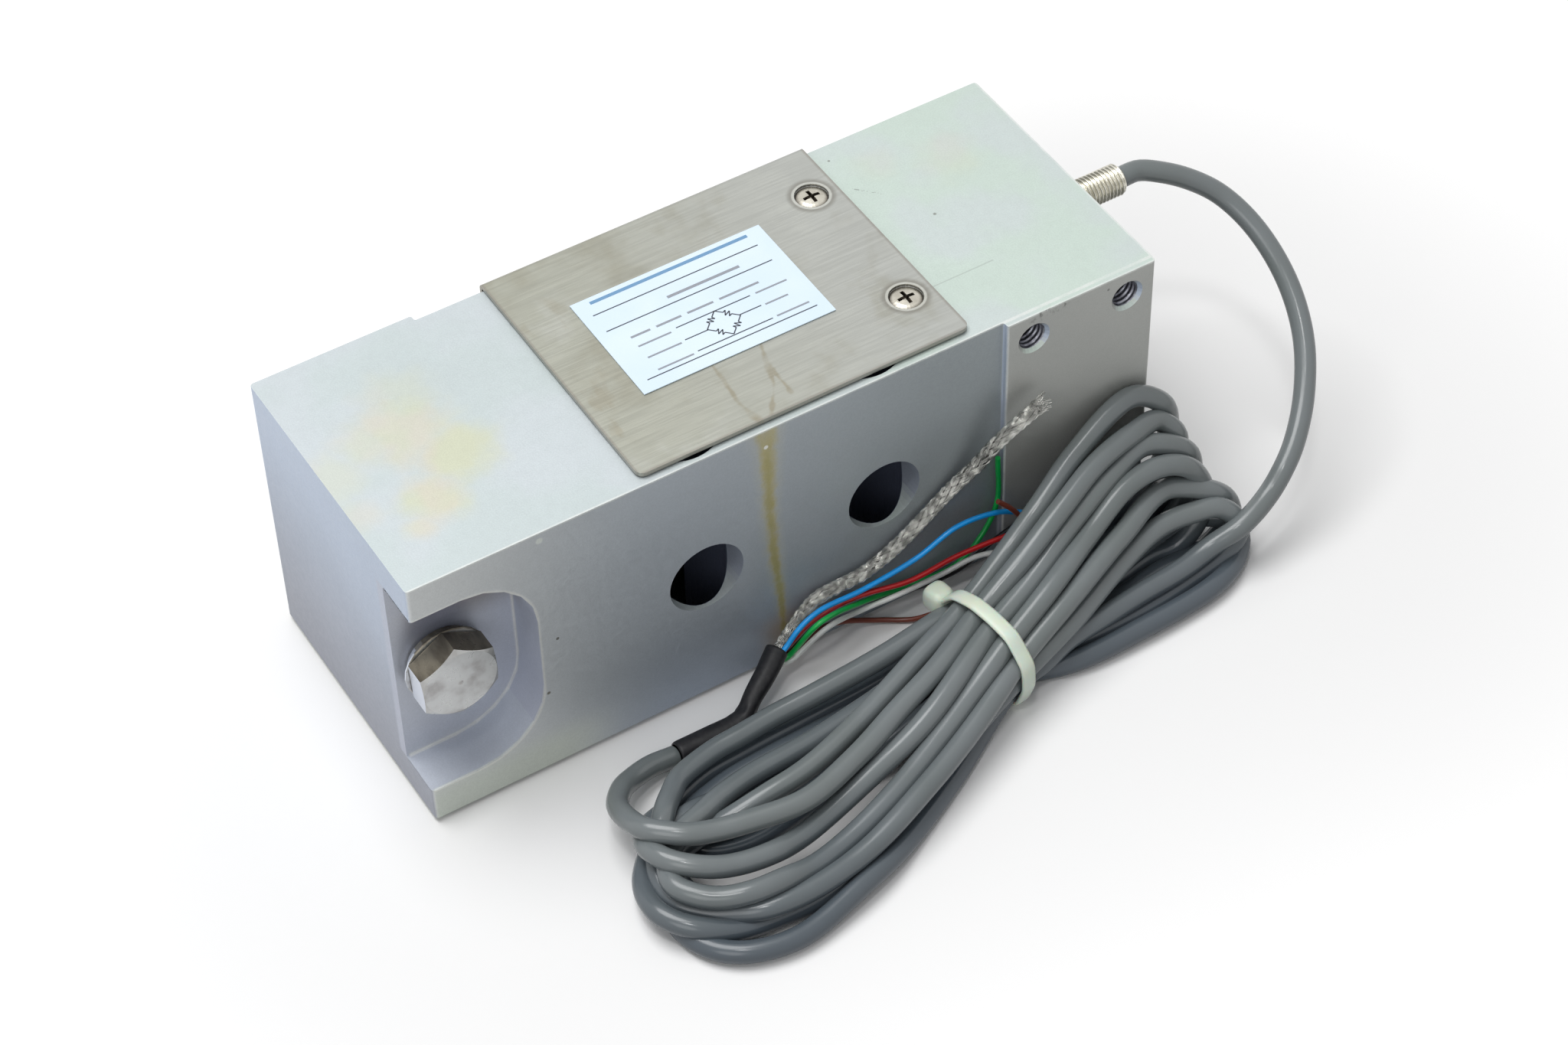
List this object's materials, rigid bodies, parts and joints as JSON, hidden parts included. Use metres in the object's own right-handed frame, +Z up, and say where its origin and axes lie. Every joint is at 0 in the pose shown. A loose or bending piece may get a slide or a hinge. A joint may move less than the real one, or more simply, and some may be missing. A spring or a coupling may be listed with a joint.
{
  "type": "single point load cell",
  "caption": "Aluminium block load cell with offset mounting pads, folded sheet cover, overload stop bolt and a tied hank of signal cable.",
  "frame": {"origin": "centre of the beam's footprint, at the surface that the cell lies on", "axes": "+X along the beam towards the cable gland, +Y away from the front face, +Z up through the label side"},
  "size_m": [0.2374, 0.1492, 0.0783],
  "materials": {
    "beam_aluminium": "satin anodised, pale grey",
    "cover_steel": "lightly brushed stainless sheet",
    "screw_steel": "plated",
    "label_film": "smooth printed film",
    "stop_steel": "zinc plated",
    "gland_nickel": "nickel plated, threaded",
    "cable_jacket": "semi-gloss jacket",
    "tie_nylon": "translucent nylon",
    "sleeve_black": "shrunk tubing",
    "braid_tinned": "tinned wire braid",
    "wire_blue": "gloss insulation",
    "wire_red": "gloss insulation",
    "wire_green": "gloss insulation",
    "wire_white": "gloss insulation",
    "wire_brown": "gloss insulation",
    "wire_black": "gloss insulation",
    "gauge_film": "gauge carrier film",
    "board_laminate": "laminate",
    "resistor_body": "moulded",
    "core_wrap": "wrapped core"
  },
  "bodies": {
    "root": {"beam_body": "beam_aluminium", "cover_saddle": "cover_steel", "cover_screw_top_front": "screw_steel", "cover_screw_top_back": "screw_steel", "cover_screw_bottom_front": "screw_steel", "cover_screw_bottom_back": "screw_steel", "label": "label_film", "stop_bolt": "stop_steel", "stop_spacer": "stop_steel", "stop_washer": "stop_steel", "cable_gland": "gland_nickel", "cable_run": "cable_jacket", "cable_hank": "cable_jacket", "cable_tail": "cable_jacket", "cable_tie": "tie_nylon", "end_sleeve": "sleeve_black", "shield_braid": "braid_tinned", "wire_blue": "wire_blue", "wire_red": "wire_red", "wire_green": "wire_green", "wire_white": "wire_white", "wire_brown": "wire_brown", "wire_black": "wire_black", "strain_gauge_1": "gauge_film", "strain_gauge_2": "gauge_film", "strain_gauge_3": "gauge_film", "strain_gauge_4": "gauge_film", "terminal_board": "board_laminate", "trim_resistor_1": "resistor_body", "trim_resistor_2": "resistor_body", "inner_core": "core_wrap"}
  },
  "joints": []
}
